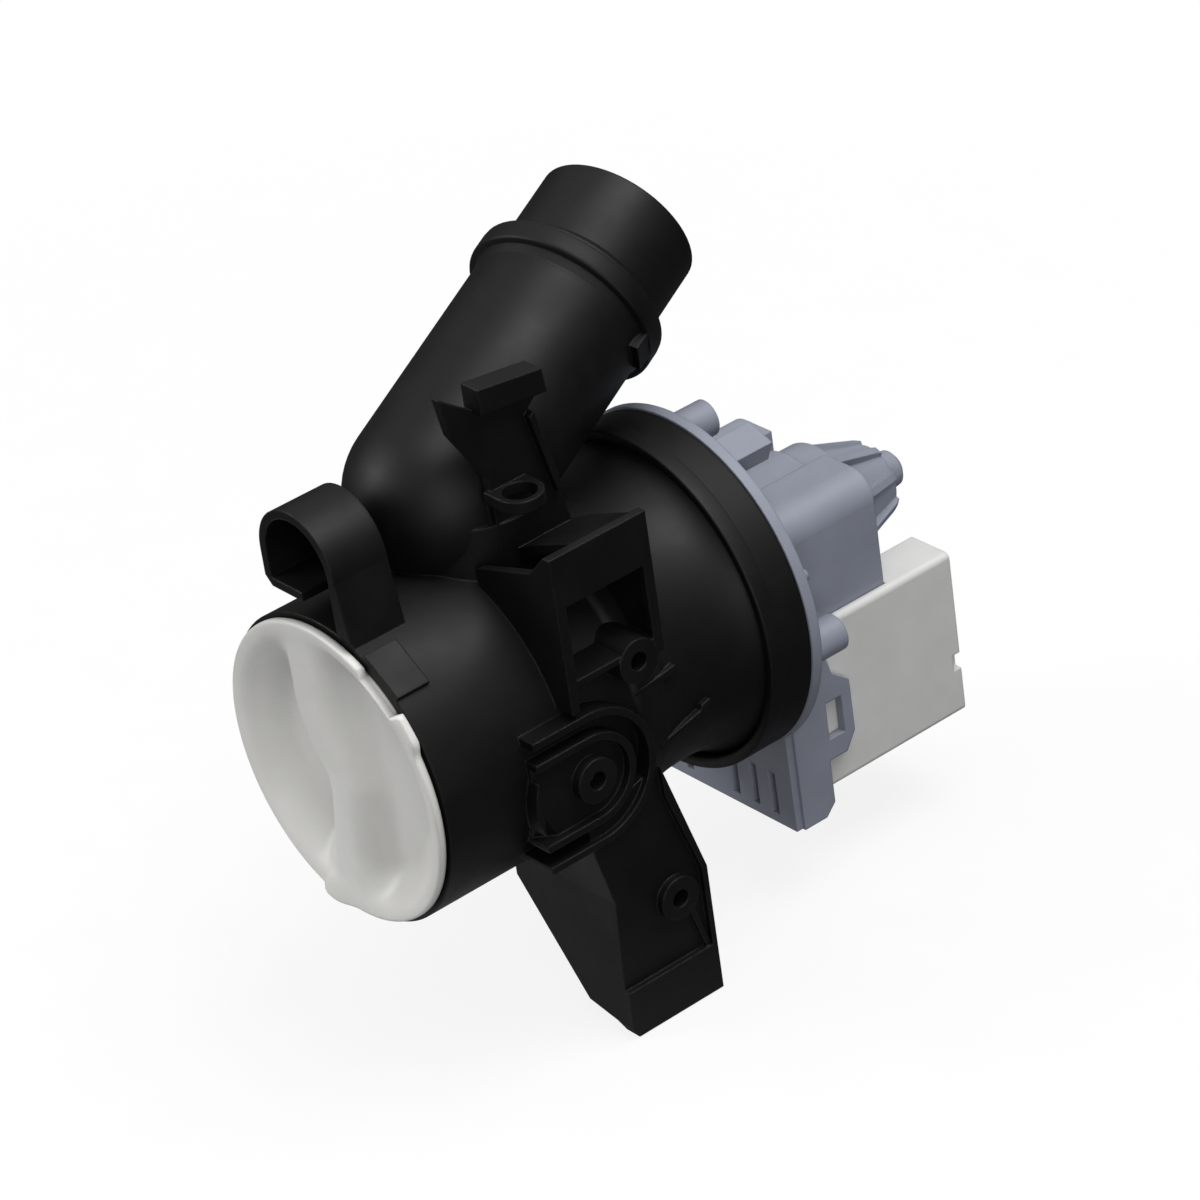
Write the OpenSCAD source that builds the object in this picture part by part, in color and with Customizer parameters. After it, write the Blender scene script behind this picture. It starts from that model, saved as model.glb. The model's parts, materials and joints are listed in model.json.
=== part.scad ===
// Drain pump of a washing machine: a black moulding with filter chamber, inlet tube,
// hose hook, volute and bracket, a white turn-out filter, and a flooded-rotor motor behind.
// The pump's axis is Y. The origin is on it, in the plane of the filter cap's front rim.
// -Y is the side the filter comes out of, +Y the motor's, +X the bracket's, +Z is up.

/* [Black moulding] */
// Wall of the moulding
wall = 2.6; // [2.2:0.1:3]
// Outer radius of the filter chamber
chamber_r = 38.5; // [37:0.5:40]
// Distance from the cap's front plane to the chamber's rear wall
chamber_len = 66; // [64:1:74]
// Distance from the cap's front plane to the chamber's front rim
rim_y = 2.6; // [2.5:0.1:3]
// Radius of the hole that leads from the chamber to the impeller
eye_r = 13; // [11:0.5:14]
// Width of the flat tab on the chamber's rim
tab_w = 12.6; // [10:0.2:16]

/* [Volute and outlet] */
// Inner radius of the volute
volute_r = 33; // [31:0.5:33.5]
// Length of the volute, from the chamber's rear wall to the motor ring
volute_len = 24.4; // [23:0.2:30]
// Outer radius of the ring that the motor is screwed to
ring_r = 43.4; // [43:0.1:46]
// Length of that ring along the axis
ring_len = 12.2; // [11:0.2:14]
// Outer radius of the outlet spigot
outlet_r = 12; // [11:0.5:13]
// Distance from the pump's axis to the outlet spigot's end
outlet_reach = 62; // [54:1:70]

/* [Inlet tube] */
// Outer radius of the inlet tube
tube_r = 21.6; // [20.6:0.2:22.4]
// Length of the inlet tube, from the middle of its elbow to its open end
tube_len = 84; // [76:1:100]
// Outer radius of the tube's end, which the sump hose is clamped on
tube_end_r = 20; // [19:0.2:20.4]
// Length of that end, up to its collar
tube_end_len = 22; // [16:1:26]
// Outer radius of the collar
collar_r = 23.9; // [23:0.1:25]
// Angle between the tube and the level
tube_rise = 20; // [16:1:24]
// Angle by which the tube leans away from the bracket's side
tube_lean = 15.4; // [12:0.2:18]

/* [Hose hook] */
// Outer radius of the hook's arch above the cap
hook_r = 13.5; // [12:0.5:13.5]
// Distance from the cap's front plane to the hook's front end
hook_y = 2; // [1:0.5:4]
// Length of the hook along the pump's axis
hook_len = 15; // [13:0.5:18]
// Thickness of the hook's wall
hook_t = 2.2; // [1.8:0.1:3]
// Gap between the chamber and the hook's free end
hook_gap = 8; // [3:0.5:9]

/* [Bracket] */
// Distance from the pump's axis to the bracket's outer face
face_x = 42; // [41:0.5:45]
// Radius of the screw holes in the bracket's bosses
boss_hole_r = 2.3; // [1.5:0.1:2.6]
// Outer radius of the bosses
boss_r = 5.5; // [4.5:0.25:6]
// Thickness of the two U-shaped rails
rail_t = 1.8; // [1.4:0.1:2.2]
// Mean radius of the outer rail
rail_r = 16.4; // [15.5:0.1:17.5]
// Mean radius of the inner rail
rail_inner_r = 10.6; // [9.5:0.1:11.5]
// Height of the bracket's foot below the pump's axis
foot_drop = 77.4; // [72:0.2:82]

/* [Filter] */
// Outer radius of the cap's front rim
cap_r = 37.5; // [37:0.1:38]
// Thickness of that rim
cap_rim_t = 2.2; // [1.8:0.1:2.2]
// Depth of the two finger scoops in the cap
scoop_depth = 7; // [5:0.5:8]
// Width of the grip rib's crest between the scoops
grip_w = 8; // [6:0.5:10]
// Angle by which the grip rib leans from upright
grip_lean = 9; // [0:1:45]
// Outer radius of the strainer's cage
basket_r = 27; // [24:0.5:29]
// Number of bars in the cage
basket_bars = 14; // [10:1:18]
// Thickness of a bar
bar_w = 2.2; // [1.8:0.1:2.6]

/* [Impeller] */
// Outer radius of the impeller
impeller_r = 21; // [18:0.5:23]
// Height of its blades
blade_h = 14; // [11:0.5:14]
// Number of blades
blades = 6; // [4:1:8]
// Free swing of the impeller on its driver, each way, in degrees
free_swing = 80; // [60:5:90]

/* [Motor] */
// Thickness of the motor flange's plate
plate_t = 2.8; // [2.4:0.1:3.4]
// Half the width of the plate's square lower part
plate_hw = 29.5; // [29:0.5:32]
// Distance from the pump's axis to the plate's lower edge
plate_drop = 59; // [58:1:64]
// Half the width over the two covers of the stator's poles
cover_hw = 25.6; // [25.4:0.2:27.4]
// Height of the covers' tops above the pump's axis
cover_top = 19.4; // [18.4:0.2:24]
// Length of the covers, from the plate's rear face
cover_len = 35.6; // [35.6:0.2:40]
// Outer radius of the tube that the rotor turns in
rotor_tube_r = 17.8; // [16.8:0.1:18]
// Distance from the plate to the end of the ribbed nub
nub_len = 64; // [60:1:70]
// Number of ribs on the nub
nub_ribs = 8; // [4:1:12]

/* [Rotor] */
// Radius of the rotor's shaft
shaft_r = 2; // [1.8:0.1:2.4]
// Outer radius of the rotor's magnet
magnet_r = 13.6; // [13:0.1:13.6]
// Length of the magnet
magnet_len = 30; // [26:1:31]

/* [Stator] */
// Thickness of the stator's stack of sheets
stack_t = 23; // [20:1:23]
// Half the width of the white coil block
block_hw = 28; // [27.5:0.1:28]
// Length of the white coil block
block_len = 51; // [49:0.2:54]
// Distance from the pump's axis to the block's underside
block_drop = 54; // [53.6:0.2:55.6]

/* [Fits] */
// Gap between pieces that are assembled with play
play = 0.3; // [0.2:0.05:0.4]
// Radial gap of the running fits
run = 0.05; // [0.03:0.01:0.09]

/* [Hidden] */
$fn = 96;
over = 1;

// Colours
black = [0.06, 0.06, 0.065];
slate = [0.42, 0.46, 0.55];
ivory = [0.86, 0.86, 0.83];
pale = [0.80, 0.80, 0.77];
rubber = [0.12, 0.12, 0.12];
steel = [0.72, 0.72, 0.74];
copper = [0.72, 0.38, 0.20];

// Stations along the axis, front to rear
eye_wall = 3;
volute_y = chamber_len + eye_wall;
ring_y = chamber_len + eye_wall + volute_len;
plate_y = ring_y + ring_len;
plate_rear = plate_y + plate_t;
chamber_in = chamber_r - wall;
seat_r = volute_r + 1.2;
seat_y = ring_y + 3;

// Inlet tube: middle of its elbow, and the neck below it
elbow = [-7.7, chamber_len - 20.7, chamber_r + 10.8];
neck = [-3, chamber_len - 16];
neck_r = 19.5;
neck_bore_r = 15.5;
collar_t = 5;
end_bore_r = tube_end_r - 2.4;

// Hose hook, which stands on the chamber
hook_x = -2.8;
hook_z = chamber_r + 13.5;
hook_foot = 3;
cap_room = 2.4;

// Tab on the rim
tab_angle = 56;
tab_h = 0.8;
tab_len = 9;

// Outlet spigot, tangent to the volute's top
outlet_wall = 2;
outlet_bore_r = outlet_r - outlet_wall;
outlet_z = volute_r - outlet_r - 0.5;
outlet_y = volute_y + outlet_bore_r + 2.5;
outlet_push = 19;
stop_t = 4;
stop_h = 1.6;

// Bracket, in the plane of its outer face
rail_mid = [chamber_len - 24.6, -6.2];
rail_front_y = 25.6;
boss_top = [chamber_len - 8.6, 17.4];
boss_mid = rail_mid;
boss_low = [chamber_len - 6.6, -47.7];
boss_proud = 0.4;
boss_bore_len = 4.2;
boss_bore_deep = 9;
pad_drop = 2.2;
panel_drop = 1.6;
frame_lo = [chamber_len - 28.5, 16.6];
frame_hi = [chamber_len - 0.8, 52.5];
frame_bar = 2.6;
frame_top_bar = 13;
frame_t = 2.2;
shelf_t = 1.6;

// Motor bolts
bolt_circle_r = 38;
bolt_angles = [90, -9.5, 189.5];
bolt_r = 1.5;
bolt_head_r = 3.3;
bolt_boss_r = 4.6;
bolt_boss_len = 9.6;
bolt_head_seat = 5.6;
bolt_reach = 7.6;
bolt_head_t = 2.2;
bolt_slot = [4.4, 0.8, 1.2];

// Slots through the plate's lower part
vent_x = [8.5, 15.6, 22.4];
vent_w = 2.4;
vent_h = 11.5;
vent_low = 2.5;

// Rotor chamber and bearings
spigot_y = seat_y + 1.6;
shield_r = 25.9;
shield_t = 4.6;
shield_hub_r = 9;
bearing_r = 4.5;
bearing_len = 7;
bearing_mount_r = 7;
rotor_tube_in = magnet_r + 0.7;
magnet_y = plate_rear + 7.6;
core_flange_t = 1.6;
core_r = 5;
washer_t = 0.8;
washer_r = 4.4;
front_bearing_y = magnet_y - core_flange_t - washer_t - play - bearing_len;
rear_bearing_y = magnet_y + magnet_len + core_flange_t + washer_t + 2 * play;
rear_pocket_r = 8;
rear_pocket_y = magnet_y + magnet_len + core_flange_t + 2 * play;
shaft_end_y = rear_bearing_y + bearing_len - 1;

// Impeller and its drive
impeller_y = volute_y + 3;
disc_t = 1.6;
disc_y = impeller_y + blade_h;
hub_r = 8.4;
hub_end_y = spigot_y - 3.4;
cavity_r = 6.8;
cavity_y = impeller_y + 5;
hub_cap_t = 2;
dog_r = 3.9;
dog_half = 25;
stop_half = 180 - dog_half - free_swing - 8;
dog_y = cavity_y + 1.8;
dog_len = hub_end_y - hub_cap_t - dog_y - 0.6;

// Stator
stack_y = plate_rear + 10.2;
leg_in = 9.5;
leg_out = 21.5;
cover_in = 9.4;
cover_wall = 1.8;
pole_hw = cover_hw - cover_wall - play;
pole_top = cover_top - cover_wall - play;
rotor_tube_len = 32.2;
yoke_h = 8;
block_y = plate_rear + 3.6;
block_top = -10;
block_wall = 1;
bobbin_t = 1.1;
coil_t = 4.1;
flange_t = 1.2;
yoke_low = block_wall + play - block_drop;
coil_low = yoke_low + yoke_h + flange_t + play;
coil_top = -rotor_tube_r - flange_t;
coil_room_end = stack_y + stack_t + bobbin_t + coil_t + 4;
cutout = [15, 3.6, 6.5];
blade = [0.8, 14, 6.3];
blade_x = 5;
blade_z = coil_top - 5;
cutout_z = blade_z - blade[2] / 2 - 1.5 - cutout[2];

// Children with their own Z axis laid along the pump's axis from y
module along_y(y) {
    translate([0, y, 0]) rotate([-90, 0, 0]) children();
}

// Solid of revolution round the pump's axis; the outline's points are [radius, y]
module turned() {
    rotate([-90, 0, 0]) rotate_extrude() children();
}

// Plain ring round the pump's axis
module ring(r_out, r_in, y0, y1) {
    along_y(y0) difference() {
        cylinder(r = r_out, h = y1 - y0);
        translate([0, 0, -over]) cylinder(r = r_in, h = y1 - y0 + 2 * over);
    }
}

// Ring of round section round the pump's axis
module o_ring(mid_r, section_r, y) {
    along_y(y) rotate_extrude() translate([mid_r, 0]) circle(r = section_r, $fn = 32);
}

// Outline in y and z, extruded from x0 to x1
module side_plate(x0, x1) {
    translate([x0, 0, 0]) rotate([90, 0, 90]) linear_extrude(x1 - x0) children();
}

// Outline in x and z, extruded from y0 to y1
module cross_plate(y0, y1) {
    translate([0, y1, 0]) rotate([90, 0, 0]) linear_extrude(y1 - y0) children();
}

// Children placed on the inlet tube's axis, a distance along it from the elbow
module on_tube(along) {
    translate(elbow) rotate([0, 0, tube_lean]) rotate([tube_rise - 90, 0, 0])
        translate([0, 0, along]) children();
}

// A sector of a ring round the pump's axis, centred on an angle from +X towards +Z
module sector(r_in, r_out, y0, y1, mid, half) {
    along_y(y0) rotate([0, 0, -mid - half])
        rotate_extrude(angle = 2 * half) translate([r_in, 0]) square([r_out - r_in, y1 - y0]);
}

module inlet_tube_outside() {
    translate(elbow) sphere(r = tube_r);
    on_tube(0) cylinder(r = tube_r, h = tube_len - tube_end_len);
    on_tube(tube_len - tube_end_len - collar_t) cylinder(r = collar_r, h = collar_t);
    on_tube(tube_len - tube_end_len - collar_t - 3) cylinder(r1 = tube_r, r2 = tube_r + 1, h = 3);
    on_tube(0) cylinder(r = tube_end_r, h = tube_len);
    on_tube(tube_len - tube_end_len - collar_t - 5) rotate([0, 0, 15])
        translate([tube_r - 2, -4, 0]) cube([collar_r - tube_r + 1.6, 8, 6]);
    translate([neck[0], neck[1], 0]) cylinder(r = neck_r, h = elbow[2]);
}

module inlet_tube_inside() {
    translate(elbow) sphere(r = tube_r - wall);
    on_tube(0) cylinder(r = tube_r - wall, h = tube_len - tube_end_len - 2);
    on_tube(0) cylinder(r = end_bore_r, h = tube_len + over);
    translate([neck[0], neck[1], chamber_in - 16])
        cylinder(r = neck_bore_r, h = elbow[2] - chamber_in + 16);
}

// Cup under an arch that holds a hose's end: one leg on the chamber, the other in the air
module hose_hook() {
    in_r = hook_r - hook_t;
    end_z = sqrt(chamber_r * chamber_r - pow(hook_x - hook_r, 2)) + hook_gap;
    difference() {
        union() {
            cross_plate(hook_y, hook_y + hook_len) {
                translate([hook_x, hook_z]) difference() {
                    circle(r = hook_r);
                    circle(r = in_r);
                    translate([-in_r, -hook_r - over]) square([2 * in_r, hook_r + over]);
                }
                translate([hook_x - hook_r, end_z + hook_t]) square([hook_t, hook_z - end_z - hook_t]);
                polygon([
                    [hook_x - hook_r, end_z + hook_t], [hook_x - hook_r + hook_t, end_z], [hook_x, end_z],
                    [hook_x, end_z + hook_t], [hook_x - hook_r + hook_t, end_z + hook_t]
                ]);
                polygon([
                    [hook_x + in_r, hook_z], [hook_x + hook_r, hook_z],
                    [hook_x + hook_r + hook_foot, chamber_in - 2], [hook_x + in_r, chamber_in - 2]
                ]);
            }
            cross_plate(hook_y + hook_len - hook_t, hook_y + hook_len) {
                translate([hook_x, hook_z]) circle(r = hook_r - 0.1);
                translate([hook_x - hook_r + 1, end_z + 0.1]) square([hook_r + in_r, hook_z - end_z]);
            }
        }
        along_y(-over) cylinder(r = cap_r + cap_room, h = rim_y + over);
    }
}

module outlet_spigot_outside() {
    translate([0, outlet_y, outlet_z]) rotate([0, -90, 0]) cylinder(r = outlet_r, h = outlet_reach);
    translate([-outlet_reach + outlet_push + stop_t, outlet_y, outlet_z]) rotate([0, -90, 0])
        cylinder(r = outlet_r + stop_h, h = stop_t);
}

// Outer faces of the bell over the volute and of the ring behind it
module volute_outside() {
    bell_r = volute_r + wall;
    turned() polygon([
        [0, chamber_len - 6], [chamber_r, chamber_len - 6], [chamber_r, chamber_len - 2],
        [chamber_r - 1, volute_y], [bell_r + 0.8, volute_y + 6], [bell_r, volute_y + 14],
        [bell_r, seat_y + over], [0, seat_y + over]
    ]);
    turned() polygon([
        [0, seat_y], [ring_r - 2.6, seat_y], [ring_r - 2.6, ring_y + 0.8], [ring_r - 1.8, ring_y],
        [ring_r - 0.8, ring_y], [ring_r, ring_y + 0.8], [ring_r, plate_y], [0, plate_y]
    ]);
}

// Flat-topped tab on the chamber's rim, beside the hose hook
module rim_tab() {
    along_y(rim_y) rotate([0, 0, -tab_angle]) translate([chamber_in + 1, -tab_w / 2, 0])
        cube([wall - 1 + tab_h, tab_w, tab_len]);
}

// Upright plate beside the tube, with its hook and its guide eye
module tower() {
    y = chamber_len - 66;
    side_plate(13, 15.6) polygon([
        [y + 33.6, 85.4], [y + 35.4, 75.3], [y + 43.6, 61.4], [y + 44, 36], [y + 66, 34], [y + 62, 51.2],
        [y + 56.8, 73], [y + 60.7, 76.5], [y + 59.8, 83], [y + 42, 85.3], [y + 43.5, 78]
    ]);
    side_plate(13, 19) polygon([[y + 42, 79], [y + 60.4, 77], [y + 59.8, 83], [y + 42, 85.3]]);
    side_plate(15, 17.6) polygon([[y + 55.6, 72], [y + 57, 73], [y + 62, 51.2], [y + 60.4, 51.2]]);
    translate([20.4, y + 48, 55]) difference() {
        union() {
            cylinder(r = 5.6, h = 3);
            translate([-6, -5.6, 0]) cube([6, 11.2, 3]);
        }
        translate([0, 0, -over]) cylinder(r = 4.1, h = 3 + 2 * over);
    }
}

// Window frame above the rails, and the walls that carry it on the chamber
module bracket_frame() {
    difference() {
        side_plate(face_x - frame_t, face_x) translate(frame_lo) square(frame_hi - frame_lo);
        side_plate(face_x - frame_t - over, face_x + over) translate(frame_lo + [frame_bar, 4])
            square([frame_hi[0] - frame_lo[0] - 2 * frame_bar,
                frame_hi[1] - frame_lo[1] - 4 - frame_top_bar]);
        side_plate(face_x - frame_t - over, face_x + over) translate(frame_lo + [frame_bar, -over])
            square([frame_hi[0] - frame_lo[0] - 2 * frame_bar, over + 4 - shelf_t]);
    }
    cross_plate(frame_lo[0], frame_lo[0] + frame_t) polygon([
        [chamber_r - 8, frame_lo[1] - 4], [face_x, frame_lo[1] - 4], [face_x, frame_hi[1]],
        [face_x - frame_t, frame_hi[1]], [face_x - 8, frame_hi[1] - 6], [14, chamber_r + 2],
        [14, chamber_r - 4]
    ]);
    cross_plate(frame_hi[0] - frame_t, frame_hi[0]) polygon([
        [chamber_r - 8, frame_lo[1]], [face_x, frame_lo[1]], [face_x, frame_hi[1]],
        [face_x - 1, frame_hi[1] - 0.6], [22, chamber_r + 6], [14, chamber_r + 2], [14, chamber_r - 4]
    ]);
    cross_plate(frame_lo[0] + 10.6, frame_hi[0]) polygon([
        [face_x - 1, frame_hi[1] - 3], [face_x - 1, frame_hi[1] - 0.6], [22, chamber_r + 6],
        [14, chamber_r + 2], [14, chamber_r - 3], [22, chamber_r + 3]
    ]);
    side_plate(chamber_r - 8, face_x) translate([frame_lo[0], frame_lo[1] + 4 - shelf_t])
        square([frame_hi[0] - frame_lo[0], shelf_t]);
}

// Outline of a U that is open towards the front, grown from the rails' middle
module u_outline(r) {
    translate(rail_mid) {
        circle(r = r);
        translate([rail_front_y - rail_mid[0], -r]) square([rail_mid[0] - rail_front_y, 2 * r]);
    }
}

// Pad on the chamber's side, with two rails and a deep slot between them
module rail_pad() {
    side_plate(chamber_r - 10, face_x) difference() {
        u_outline(rail_r + rail_t / 2);
        u_outline(rail_r - rail_t / 2);
    }
    side_plate(chamber_r - 10, face_x) difference() {
        u_outline(rail_inner_r + rail_t / 2);
        u_outline(rail_inner_r - rail_t / 2);
    }
    intersection() {
        side_plate(chamber_r - 10, face_x - pad_drop) u_outline(rail_inner_r);
        turned() polygon([
            [0, rail_front_y - 1], [chamber_r, rail_front_y - 1], [chamber_r + 8, rail_front_y + 9],
            [70, 60], [0, 60]
        ]);
    }
}

// Leg below the rails: its side outline cut to its tapering depth, cored from behind
module bracket_leg() {
    y = chamber_len - 66;
    step_z = 12.6 - foot_drop;
    difference() {
        intersection() {
            side_plate(0, face_x) polygon([
                [y + 38, -18], [y + 59.3, -12], [y + 68.4, -43.4], [y + 68.3, -foot_drop],
                [y + 42.4, -foot_drop], [y + 40.9, 3 - foot_drop], [y + 42.4, -41.3], [y + 38.9, -26.4]
            ]);
            cross_plate(y + 30, y + 70) polygon([
                [3, -34], [3.6, -48.2], [26.6, 4.6 - foot_drop], [36.4, 3 - foot_drop], [37.4, -foot_drop],
                [face_x, -foot_drop], [face_x, -8], [20, -8]
            ]);
        }
        side_plate(face_x - panel_drop, face_x + over) polygon([
            [y + 36, -18], [y + 59.3, -11], [y + 59.6, -20], [y + 67, -43.6], [y + 67, step_z],
            [y + 36, step_z]
        ]);
        side_plate(-over, face_x - 2 * wall) translate([y + 45.2, -foot_drop - over])
            square([19.8, foot_drop - 22]);
    }
    side_plate(face_x - panel_drop - 1, face_x - 0.6) polygon([
        boss_low + [2.4, -4], boss_low + [3.8, -3.2], [y + 66.6, step_z + 1.4], [y + 66.6, step_z - 0.4],
        [y + 65.6, step_z - 0.4]
    ]);
}

module boss(at, long) {
    side_plate(face_x - long, face_x + boss_proud) translate(at) circle(r = boss_r);
}

module boss_bore(at, depth) {
    side_plate(face_x + boss_proud - depth, face_x + boss_proud + over) translate(at)
        circle(r = boss_hole_r);
}

// Short stiffening ribs behind the rails, on the bell
module bracket_ribs() {
    y = chamber_len - 66;
    side_plate(chamber_r - 12, chamber_r - 0.4) polygon([
        [y + 58, 5.4], [y + 69.8, 6.2], [y + 71, 7.2], [y + 70.4, 8.4], [y + 58, 6.8]
    ]);
    side_plate(chamber_r - 12, chamber_r - 1.2) polygon([
        [y + 64, -11.4], [y + 79, -7.8], [y + 80.4, -6.6], [y + 79.4, -5.4], [y + 77, -6],
        [y + 76.4, -7.2], [y + 64, -10]
    ]);
}

module pump_casing() color(black) difference() {
    union() {
        along_y(rim_y) cylinder(r = chamber_r, h = chamber_len - rim_y);
        volute_outside();
        inlet_tube_outside();
        hose_hook();
        outlet_spigot_outside();
        rim_tab();
        tower();
        bracket_frame();
        rail_pad();
        bracket_leg();
        bracket_ribs();
        boss(boss_top, 12);
        boss(boss_mid, 12);
        boss(boss_low, 11);
    }
    along_y(rim_y - over) cylinder(r = chamber_in, h = chamber_len - rim_y + over);
    along_y(chamber_len - over) cylinder(r = eye_r, h = eye_wall + 2 * over);
    along_y(volute_y) cylinder(r = volute_r, h = ring_len + volute_len);
    along_y(seat_y) cylinder(r = seat_r, h = plate_y - seat_y + over);
    inlet_tube_inside();
    translate([0, outlet_y, outlet_z]) rotate([0, -90, 0])
        cylinder(r = outlet_bore_r, h = outlet_reach + over);
    boss_bore(boss_top, boss_bore_deep - 1);
    boss_bore(boss_mid, boss_bore_len);
    boss_bore(boss_low, boss_bore_deep);
    for (a = bolt_angles) along_y(plate_y - bolt_reach - play) rotate([0, 0, -a])
        translate([bolt_circle_r, 0, 0]) cylinder(r = bolt_r, h = bolt_reach + play + over);
}

cap_skirt_r = chamber_in - 0.4;
cap_floor = scoop_depth + 3;
cap_skirt_end = cap_floor + 0.6;
seal_section = 0.95;
seal_y = 5.6;
seal_mid_r = chamber_in - seal_section - 0.15;
groove_r = seal_mid_r - seal_section - 0.1;

// Dished front of the cap, with the grip rib left standing between the scoops
module cap_scoops() {
    dish_r = cap_r - 4;
    difference() {
        turned() polygon([[0, -over], [dish_r, -over], [dish_r, 0.2], [dish_r - 5, scoop_depth * 0.6],
            [dish_r - 12, scoop_depth * 0.9], [0, scoop_depth]]);
        for (turn = [0, 180]) rotate([0, grip_lean + turn, 0]) linear_extrude(cap_r) polygon([
            [-grip_w / 2, -2], [grip_w / 2, -2], [grip_w / 2, 0.4], [1.7 * grip_w, scoop_depth + 1],
            [-grip_w, scoop_depth + 1], [-grip_w / 2, 0.4]
        ]);
    }
}

module filter_cap() color(ivory) {
    difference() {
        union() {
            ring(cap_r, 1, 0, cap_rim_t);
            ring(cap_skirt_r, 1, cap_rim_t / 2, cap_skirt_end);
            along_y(0) cylinder(r = 2, h = cap_floor);
        }
        cap_scoops();
        along_y(cap_floor) cylinder(r = cap_skirt_r - 3.6, h = cap_skirt_end);
        along_y(seal_y - seal_section - 0.15) difference() {
            cylinder(r = cap_skirt_r + over, h = 2 * seal_section + 0.3);
            translate([0, 0, -over]) cylinder(r = groove_r, h = 2 * seal_section + 2 + 2 * over);
        }
        sector(cap_skirt_r, cap_r + over, -over, cap_rim_t + 0.01, 52.6, 9.2);
    }
    sector(cap_r - over, cap_r + 1.8, 0.6, cap_rim_t, 36, 5);
    sector(cap_r - 6, cap_r - 0.4, -0.9, 0.3, -97 + grip_lean, 10);
}

basket_front = cap_floor + 2.4;
basket_end = chamber_len - 0.8;

module filter_basket() color(ivory) {
    ring(cap_skirt_r - 3.6 - play, 6, cap_floor, basket_front);
    ring(basket_r, eye_r + 1, basket_end - 3, basket_end);
    ring(basket_r, basket_r - 3, (basket_front + basket_end) / 2 - 1.5,
        (basket_front + basket_end) / 2 + 1.5);
    for (i = [0 : basket_bars - 1]) along_y(basket_front - 0.5) rotate([0, 0, i * 360 / basket_bars])
        translate([basket_r - 3.2, -bar_w / 2, 0]) cube([3, bar_w, basket_end - basket_front]);
}

module cap_seal() color(rubber) o_ring(seal_mid_r, seal_section, seal_y);

module impeller() color(pale) {
    difference() {
        union() {
            along_y(impeller_y) cylinder(r1 = 3.6, r2 = hub_r, h = 6);
            along_y(impeller_y + 6) cylinder(r = hub_r, h = hub_end_y - impeller_y - 6);
            ring(impeller_r - 1, hub_r - over, disc_y, disc_y + disc_t);
            for (i = [0 : blades - 1]) along_y(impeller_y) rotate([0, 0, i * 360 / blades])
                translate([hub_r - over, -0.9, 0]) difference() {
                    cube([impeller_r - hub_r + over, 1.8, blade_h + over]);
                    translate([0, -over, 0]) rotate([0, 55, 0]) translate([-12, 0, -2]) cube([12, 4, 14]);
                }
        }
        along_y(cavity_y) cylinder(r = cavity_r, h = hub_end_y);
        along_y(impeller_y + 2) cylinder(r = shaft_r + run, h = hub_end_y);
    }
    sector(dog_r + play, cavity_r + 0.3, cavity_y - 0.3, hub_end_y - hub_cap_t, -90, stop_half);
}

module hub_cap() color(pale) ring(cavity_r, shaft_r + run, hub_end_y - hub_cap_t, hub_end_y);

module drive_dog() color(steel) {
    ring(dog_r, shaft_r, dog_y, dog_y + dog_len);
    sector(dog_r - 0.4, cavity_r - play, dog_y, dog_y + dog_len, 90, dog_half - 5);
}

module dog_cushion() color(rubber) difference() {
    sector(dog_r, cavity_r - play - 0.1, dog_y + 0.6, dog_y + dog_len - 0.6, 90, dog_half);
    sector(dog_r - 0.5, cavity_r, dog_y, dog_y + dog_len, 90, dog_half - 5);
}

module rotor_shaft() color(steel) along_y(impeller_y + 2.6)
    cylinder(r = shaft_r, h = shaft_end_y - impeller_y - 2.6);

module rotor_magnet() color([0.2, 0.2, 0.21]) ring(magnet_r, core_r, magnet_y, magnet_y + magnet_len);

module magnet_core() color(pale) {
    ring(core_r, shaft_r, magnet_y, magnet_y + magnet_len);
    ring(magnet_r - 1, shaft_r, magnet_y - core_flange_t, magnet_y);
    ring(magnet_r - 1, shaft_r, magnet_y + magnet_len, magnet_y + magnet_len + core_flange_t);
}

module thrust_washers() color(steel) {
    ring(washer_r, shaft_r, magnet_y - core_flange_t - washer_t, magnet_y - core_flange_t);
    ring(washer_r, shaft_r, magnet_y + magnet_len + core_flange_t,
        magnet_y + magnet_len + core_flange_t + washer_t);
}

module bearing_shield() color(slate) difference() {
    union() {
        ring(shield_r, shaft_r + 0.6, spigot_y, spigot_y + shield_t);
        ring(shield_hub_r, shaft_r + 0.6, spigot_y - 1.6, front_bearing_y + bearing_len);
    }
    along_y(front_bearing_y) cylinder(r = bearing_mount_r, h = bearing_len + over);
    along_y(spigot_y + 1.2) difference() {
        cylinder(r = shield_r + over, h = 2);
        translate([0, 0, -over]) cylinder(r = shield_r - 2, h = 2 + 2 * over);
    }
}

module shield_seal() color(rubber) o_ring(shield_r - 1, 1, spigot_y + 2.2);

module front_bearing() color([0.35, 0.33, 0.3])
    ring(bearing_r, shaft_r + run, front_bearing_y, front_bearing_y + bearing_len);

module front_bearing_mount() color(rubber)
    ring(bearing_mount_r, bearing_r, front_bearing_y + 1, front_bearing_y + bearing_len - 1);

module rear_bearing() color([0.35, 0.33, 0.3])
    ring(bearing_r, shaft_r + run, rear_bearing_y, rear_bearing_y + bearing_len);

module rear_bearing_mount() color(rubber)
    ring(rear_pocket_r, bearing_r, rear_bearing_y + 1, rear_bearing_y + bearing_len - 1);

// Flat outline of the flange's plate
module plate_outline() {
    circle(r = ring_r + 0.5);
    translate([-plate_hw, -plate_drop]) square([2 * plate_hw, plate_drop]);
}

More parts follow.
